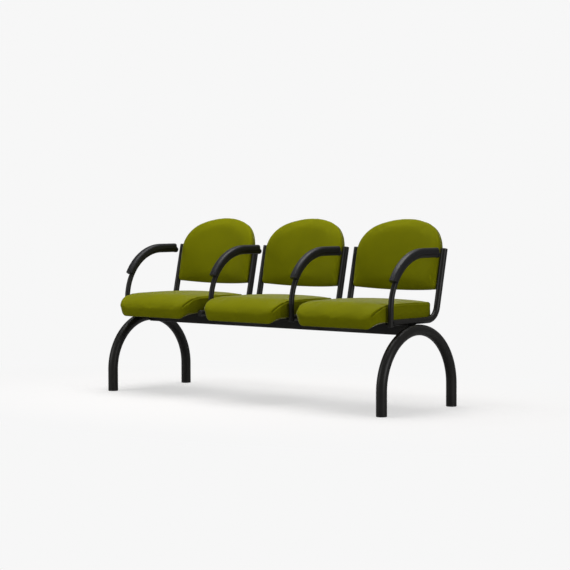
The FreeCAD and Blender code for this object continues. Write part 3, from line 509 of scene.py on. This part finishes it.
def subdivide(piece):
    finer = piece.modifiers.new("finer", "SUBSURF")
    finer.levels = finer.render_levels = 1
    finer.use_limit_surface = False
    keep_modifiers(piece)


# %% Blowing up a cover
FRAMES = 14


def blow_up(piece, held, pressure, cap):
    """Cloth with air pressure and no gravity; held points stay, the rest move by cap at most."""
    start = read_points(piece.data)
    group = piece.vertex_groups.new(name="held")
    group.add([int(index) for index in np.flatnonzero(held)], 1.0, "REPLACE")
    cover = piece.modifiers.new("cover", "CLOTH")
    cover.settings.quality = 4
    cover.settings.mass = 0.3
    cover.settings.tension_stiffness = cover.settings.compression_stiffness = 30
    cover.settings.bending_stiffness = 1.0
    cover.settings.use_pressure = True
    cover.settings.uniform_pressure_force = pressure
    cover.settings.effector_weights.gravity = 0
    cover.settings.vertex_group_mass = "held"
    cover.point_cache.frame_start, cover.point_cache.frame_end = 1, FRAMES
    for number in range(1, FRAMES + 1):
        scene.frame_set(number)
    keep_modifiers(piece)
    move = read_points(piece.data) - start
    length = np.linalg.norm(move, axis=1, keepdims=True)
    move *= np.tanh(length / cap) * cap / np.maximum(length, 1e-9)
    write_points(piece.data, start + move)
    piece.vertex_groups.clear()
    scene.frame_set(1)
    print("blown", piece.name, "by up to", round(float(length.max()) * 1000, 1), "mm, mean",
          round(float(length.mean()) * 1000, 2))


# %% Sewn lines
def distance_to_line(points, line):
    """How far each point is from a line through a row of places."""
    nearest = np.full(len(points), 1e9)
    for first, second in zip(line[:-1], line[1:]):
        run = second - first
        along = np.clip((points - first) @ run / (run @ run), 0, 1)[:, None]
        nearest = np.minimum(nearest, np.linalg.norm(points - first - along * run, axis=1))
    return nearest


RISE_SHARE, RISE_PLACE, RISE_WIDTH = 0.3, 3.2, 1.6


def sew(piece, seams, depth, width):
    """Press a groove along each seam, with a slight rise on both sides where the cover is full."""
    points = read_points(piece.data)
    near = np.min([distance_to_line(points, seam) for seam in seams], axis=0)
    groove = np.exp(-(near / width) ** 2)
    # The groove is also kept as the point attribute seam, which the fabric uses to paint shade
    # into it.
    piece.data.attributes.new("seam", "FLOAT", "POINT").data.foreach_set("value", groove)
    rise = np.exp(-((near - RISE_PLACE * width) / (RISE_WIDTH * width)) ** 2)
    push(piece, depth * (RISE_SHARE * rise - groove))


def finish_soft(piece, node):
    """Smooth shading, fabric, and the calls that tie the piece to the frame."""
    piece.data.materials.append(green_fabric)
    piece.data.polygons.foreach_set("use_smooth", [True] * len(piece.data.polygons))
    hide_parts(node)
    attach(piece, ALL)
    print("soft", piece.name, "points", len(piece.data.vertices))


# %% [markdown]
# ## Seat cushions
#
# A seat's top panel runs from the rear foot over the crown and the rolled front to the edge
# under the lip, and is sewn to a flat panel on each side. Sections across the seat's width
# give the top panel. At the front the side panel wraps round the corner, so the seam leaves
# its edge there and runs down over the roll. The lip is cut up steeply towards both sides.
# Each seat is blown up a little harder than the one before, as no two are filled alike.

# %% One section of a seat, in the side view
SEAT_HALF, SEAT_CORNER, SEAT_FRONT, SEAT_REAR = 0.231, 0.048, 0.269, 0.156
SEAT_SEAM_Z, SEAT_CROWN_Z, SEAT_LIP, SEAT_BOTTOM = 0.4805, 0.4870, 0.371, 0.4014
ROLL_START, SLOPE_START, REAR_ROUND = -0.155, -0.150, 0.014
ROLL_DROP, REAR_DROP, REAR_DRAWN_IN = 0.002, 0.003, 0.003
CORNER_END, CORNER_RISE, LIP_CURVE, LIP_CUT = 0.0465, 0.188, 0.12, 0.85
LIP_ARC = ((0.008, 0.008), (0.0115, 0.0026), (0.018, 0.0))
BOARD_HALF, BOARD_REAR, BOARD_TOP = 0.205, 0.1404, 0.4117
ROLL_POINTS = 16
# The columns of a section that lie on the front roll and on the underside.
ROLL = slice(33, 33 + ROLL_POINTS)
BOTTOM = slice(64, 82)


def seat_section(x):
    """A closed loop of (y, z) points: up the rear, over the top, round the front and back."""
    part = abs(x) / SEAT_HALF
    inside = min(max(abs(x) - SEAT_HALF + SEAT_CORNER, 0), CORNER_END)
    front = SEAT_CORNER - SEAT_FRONT - math.sqrt(SEAT_CORNER ** 2 - inside ** 2)
    rear = SEAT_REAR - REAR_DRAWN_IN * part ** 6
    top = SEAT_SEAM_Z + (SEAT_CROWN_Z - SEAT_SEAM_Z) * (1 - part ** 2)
    run = (SLOPE_START - front) / (SLOPE_START + SEAT_FRONT)
    corner = min(max((abs(x) - CORNER_RISE) / (SEAT_HALF - CORNER_RISE), 0), 1)
    full = 1 - LIP_CURVE * part ** 2 - LIP_CUT * corner ** 2 * (3 - 2 * corner)
    lip = SEAT_BOTTOM - (SEAT_BOTTOM - SEAT_LIP) * full * run
    middle = 0.45 * top + 0.55 * lip - 0.006
    rear_top, roll_top = top - REAR_DROP, top - ROLL_DROP
    shoulder = REAR_ROUND * (1 - math.sqrt(0.5))
    turn = np.arange(ROLL_POINTS) / ROLL_POINTS * math.pi / 2
    roll = np.stack([ROLL_START + (front - ROLL_START) * np.sin(turn),
                     middle + (roll_top - middle) * np.cos(turn)], 1)
    lip_points = [(front + y, lip + z) for y, z in LIP_ARC]
    bottom_y = [SLOPE_START, SLOPE_START + 0.001, *np.linspace(-0.13, 0.125, 13),
                BOARD_REAR - 0.0005, BOARD_REAR + 0.0015, 0.149]
    over_board = [abs(x) < BOARD_HALF and SLOPE_START < y < BOARD_REAR for y in bottom_y]
    bottom = [(y, BOARD_TOP if over else SEAT_BOTTOM) for y, over in zip(bottom_y, over_board)]
    return np.vstack([
        line_points((rear, SEAT_BOTTOM), (rear, rear_top - REAR_ROUND), 6),
        arc_points((rear, rear_top - REAR_ROUND), (rear - shoulder, rear_top - shoulder),
                   (rear - REAR_ROUND, rear_top), 4),
        arc_points((rear - REAR_ROUND, rear_top), (0.010, top), (ROLL_START, roll_top), 23),
        roll,
        line_points((front, middle), lip_points[0], 3),
        arc_points(*lip_points, 4),
        line_points(lip_points[2], (SLOPE_START, SEAT_BOTTOM), 8),
        bottom])


# %% The loops of a seat, from one side panel's middle to the other's
TOP_STEPS = (*np.linspace(0, 0.204, 23), 0.2062, 0.211, 0.216, 0.2205, 0.2245, 0.2275, 0.2295)
# Each rim: its x, how far inside the last section it lies, and its share of the seam's drop.
RIM_STEPS = ((0.2305, 0.0009, 0.0), (0.2311, 0.0017, 0.5), (0.2312, 0.0026, 1.0))
PANEL_SHARES = (0.985, 0.96, 0.92, 0.86, 0.78, 0.68, 0.56, 0.42, 0.27, 0.12)
PANEL_MIDDLE = (-0.040, 0.436)
PANEL_X, PANEL_CROWN, POLE_X = 0.2312, 0.001, 0.2324
SEAM_DROP = 0.003


def side_loops():
    """Pairs of x and loop, from the top panel's edge to the side panel's middle."""
    edge = seat_section(SEAT_HALF)
    drop = np.zeros(len(edge))
    turn = np.arange(ROLL_POINTS) / ROLL_POINTS * math.pi
    drop[ROLL] = SEAM_DROP * np.sin(turn)
    rims = [(x, inward(edge, amount + share * drop)) for x, amount, share in RIM_STEPS]
    seam = rims[-1][1]
    for share in PANEL_SHARES:
        loop = PANEL_MIDDLE + (seam - PANEL_MIDDLE) * share
        rims.append((PANEL_X + PANEL_CROWN * (1 - share), loop))
    return rims


def seat_skin(name, middle_x):
    """The seat's cover, and its loops from one side panel's middle to the other's."""
    half = [(x, seat_section(x)) for x in TOP_STEPS] + side_loops()
    rows = [(-x, loop) for x, loop in half[:0:-1]] + half
    loops = [np.column_stack([np.full(len(loop), middle_x + x), loop + (ARCH_Y, 0)])
             for x, loop in rows]
    poles = [(middle_x + side * POLE_X, ARCH_Y + PANEL_MIDDLE[0], PANEL_MIDDLE[1])
             for side in (-1, 1)]
    return skin(name, loops, *poles), loops


# %% The seam that leaves the corner and runs down round the front
SEAM_ROW, TURN_ROWS = 10, 8.0
LEAVES, ENDS = 35, 49


def seam_path(points, mirrored):
    """Places along a seam. It keeps to SEAM_ROW, counted from the side panel's middle, up to
    the column where it leaves, and drifts over TURN_ROWS more rows to the column where it ends.
    """
    path = []
    for column in range(ENDS):
        turned = max(column - LEAVES, 0) / (ENDS - LEAVES)
        row = SEAM_ROW + TURN_ROWS * turned ** 1.3
        if mirrored:
            row = len(points) - 1 - row
        first = int(row)
        share = row - first
        path.append(points[first, column] * (1 - share) + points[first + 1, column] * share)
    return np.array(path)


# %% Make the three seats
SEAT_PRESSURE, PRESSURE_STEP, SEAT_CAP, SEAT_FILL = 2.0, 0.2, 0.004, 0.8
SEAT_GROOVE = {"depth": 0.0040, "width": 0.0027}


def seat_cushion(number):
    node = f"seat{number}_cushion"
    low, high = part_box(node)
    piece, loops = seat_skin(f"seat{number}_foam", (low.x + high.x) / 2)
    rows, size = len(loops), len(loops[0])
    held = np.zeros((rows, size), bool)
    held[[SEAM_ROW, rows - 1 - SEAM_ROW]] = True
    held[:, BOTTOM] = True
    held[:, 0] = True
    pressure = SEAT_PRESSURE + PRESSURE_STEP * number
    blow_up(piece, [*held.ravel(), False, False], pressure, SEAT_CAP)
    points = read_points(piece.data)[:rows * size].reshape(rows, size, 3)
    seams = [seam_path(points, mirrored) for mirrored in (False, True)]
    subdivide(piece)
    sew(piece, seams, **SEAT_GROOVE)
    finish_soft(piece, node)
    return piece


seats = {number: seat_cushion(number) for number in (1, 2, 3)}
print("seats", len(seats))

# %% [markdown]
# ## Backs
#
# A back is a thin curved cushion that wraps round a moulded board, with a second thin pad
# behind it. Both share one outline: straight sides, small lower corners, an arched top, and
# a lower edge that rises slightly towards its ends. Rings of that outline, drawn in towards
# the middle, make the faces, and rings at growing depth make the edges. The front rounds
# over in a wide band. All of it leans with the uprights. Of the cushion's rings, 0 to 17 are
# its front, 18 to 22 its edge and 23 to 27 its side on the board; of the rear pad's, 0 to 3
# lie on the board, 4 to 8 are its rounded edge and the rest its rear.

# %% Outline and depth of a back
BACK_HALF, BACK_LOW, BACK_SPRING, BACK_TOP = 0.2375, 0.1095, 0.278, 0.4462
SHOULDER, LOWER_CORNER, CORNER_GROWTH = 0.150, 0.014, 0.6
LOW_RISE, LOW_BAND = 0.003, 0.05
LEAN = math.radians(12.6)
UPRIGHT = (0.161, 0.423)
FRONT_DEPTH, FRONT_SAG = -0.031, 0.036
BULGE, BULGE_FALL, BULGE_MIDDLE, BULGE_REACH = 0.002, 0.0075, 0.273, 0.181
BOARD_FRONT, BOARD_BACK, BOARD_SAG = -0.002, 0.007, 0.030
BACK_MIDDLE = (0.0, 0.265)


def back_outline(inset):
    """A closed anticlockwise loop of (across, up) points, inset as an offset of the outline."""
    half, low, top = BACK_HALF - inset, BACK_LOW + inset, BACK_TOP - inset
    small, rise = SHOULDER - inset, BACK_TOP - inset - BACK_SPRING
    corner = LOWER_CORNER + CORNER_GROWTH * inset
    large = ((half - small) ** 2 + rise ** 2 - small ** 2) / (2 * (rise - small))
    join = math.atan2(BACK_SPRING - (top - large), half - small)

    def arc(centre_x, centre_z, radius, start, end, count):
        turn = start + (end - start) * np.arange(count) / count
        return np.stack([centre_x + radius * np.cos(turn), centre_z + radius * np.sin(turn)], 1)

    quarter = math.pi / 2
    loop = np.vstack([
        arc(half - corner, low + corner, corner, -quarter, 0, 6),
        line_points((half, low + corner), (half, BACK_SPRING), 15),
        arc(half - small, BACK_SPRING, small, 0, join, 16),
        arc(0, top - large, large, join, 2 * quarter - join, 36),
        arc(small - half, BACK_SPRING, small, 2 * quarter - join, 2 * quarter, 16),
        line_points((-half, BACK_SPRING), (-half, low + corner), 15),
        arc(corner - half, low + corner, corner, 2 * quarter, 3 * quarter, 6),
        line_points((corner - half, low), (half - corner, low), 36)])
    near_low = np.clip(1 - (loop[:, 1] - low) / LOW_BAND, 0, 1)
    loop[:, 1] += LOW_RISE * np.abs(loop[:, 0] / BACK_HALF) ** 3 * near_low
    return loop


def curve_depth(across, edge_depth, sag):
    """Depth of a face that is hollow towards the sitter, from its depth at the sides."""
    radius = (BACK_HALF ** 2 + sag ** 2) / (2 * sag)
    return edge_depth + sag - radius + np.sqrt(radius ** 2 - across ** 2)


def front_depth(ring):
    """The cushion's front: fullest at middle height."""
    bulge = BULGE - BULGE_FALL * ((ring[:, 1] - BULGE_MIDDLE) / BULGE_REACH) ** 2
    return curve_depth(ring[:, 0], FRONT_DEPTH - bulge, FRONT_SAG)


def board_depth(ring, edge_depth):
    return curve_depth(ring[:, 0], edge_depth, BOARD_SAG)


def stand(middle_x, ring, depth):
    """Turn a flat ring and its depths into places on the leaning back."""
    across, up = ring[:, 0], ring[:, 1]
    y = ARCH_Y + UPRIGHT[0] + depth * math.cos(LEAN) + up * math.sin(LEAN)
    z = UPRIGHT[1] + up * math.cos(LEAN) - depth * math.sin(LEAN)
    return np.column_stack([middle_x + across, y, z])


def shrink(ring, share):
    return BACK_MIDDLE + (ring - BACK_MIDDLE) * share


# %% Lay out a back cushion and a rear pad
GAP = 0.0004
ROUND_WIDTH, ROUND_DEPTH = 0.085, 0.018
TUCK, RECESS = 0.0045, 0.0086
REAR_INSET, REAR_ROUND_OVER, REAR_THICK = 0.002, 0.005, 0.010


def cushion_rows():
    """Pairs of ring and depth, from the front's middle round the edge to the board's middle."""
    face = back_outline(ROUND_WIDTH)
    rows = [(shrink(face, share), 0) for share in (0.1, 0.23, 0.36, 0.49, 0.61, 0.72, 0.82, 0.91)]
    for share in (0, 0.2, 0.38, 0.54, 0.67, 0.78, 0.87, 0.935, 0.98, 1):
        ring = back_outline(ROUND_WIDTH * (1 - share))
        rows.append((ring, ROUND_DEPTH * (1 - math.sqrt(1 - share ** 3))))
    rows = [(ring, front_depth(ring) + drop) for ring, drop in rows]
    near = rows[-1][1]
    for share in (0.3, 0.55, 0.78, 0.92, 1.0):
        ring = back_outline(TUCK * share ** 3)
        rows.append((ring, near + (board_depth(ring, BOARD_BACK - GAP) - near) * share))
    recess = back_outline(RECESS)
    rows.append((recess, board_depth(recess, BOARD_BACK - GAP)))
    for share in (1.0, 0.75, 0.5, 0.25):
        ring = shrink(recess, share)
        rows.append((ring, board_depth(ring, BOARD_FRONT - GAP)))
    return rows


def rear_pad_rows():
    """Pairs of ring and depth, from the board's middle round the edge to the rear's middle."""
    side = back_outline(TUCK)
    rows = []
    for share in (0.25, 0.5, 0.75, 1.0):
        ring = shrink(side, share)
        rows.append((ring, board_depth(ring, BOARD_BACK + GAP)))
    for turn in np.radians((90, 65, 45, 22, 0)):
        ring = back_outline(REAR_INSET + REAR_ROUND_OVER * (1 - math.sin(turn)))
        depth = BOARD_BACK + GAP + REAR_THICK - REAR_ROUND_OVER * (1 - math.cos(turn))
        rows.append((ring, board_depth(ring, depth)))
    face = back_outline(REAR_INSET + REAR_ROUND_OVER)
    for share in (0.96, 0.9, 0.82, 0.73, 0.63, 0.52, 0.41, 0.3, 0.19, 0.08):
        ring = shrink(face, share)
        rows.append((ring, board_depth(ring, BOARD_BACK + GAP + REAR_THICK)))
    return rows


# %% Make the backs
BACK_GROOVE = {"depth": 0.0009, "width": 0.0018}
FRONT = {"seam_row": 19, "held_rows": range(21, 28), "cap": 0.004, "fill": 0.7}
REAR = {"seam_row": 4, "held_rows": range(0, 5), "cap": 0.002, "fill": 0.5}
FRONT_PRESSURE, REAR_PRESSURE = 1.6, 1.5


def back_piece(number, ending, name, rows, seam_row, held_rows, pressure, cap, fill):
    node = f"seat{number}_{ending}"
    low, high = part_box(node)
    middle_x = (low.x + high.x) / 2
    loops = [stand(middle_x, ring, depth) for ring, depth in rows]
    piece = skin(f"seat{number}_{name}", loops, loops[0].mean(0), loops[-1].mean(0))
    size = len(loops[0])
    held = np.zeros((len(loops), size), bool)
    held[[seam_row, *held_rows]] = True
    poles = [0 in held_rows, len(loops) - 1 in held_rows]
    blow_up(piece, [*held.ravel(), *poles], pressure, cap)
    points = read_points(piece.data)
    seam = points[seam_row * size:(seam_row + 1) * size]
    subdivide(piece)
    sew(piece, [np.vstack([seam, seam[:1]])], **BACK_GROOVE)
    finish_soft(piece, node)
    return piece


backs = {number: back_piece(number, "back_cushion", "back_foam", cushion_rows(),
                            pressure=FRONT_PRESSURE + PRESSURE_STEP * number, **FRONT)
         for number in (1, 2, 3)}
rear_pads = {number: back_piece(number, "back_rear_pad", "back_rear_foam", rear_pad_rows(),
                                pressure=REAR_PRESSURE, **REAR)
             for number in (1, 2, 3)}
print("backs", len(backs), "rear pads", len(rear_pads))
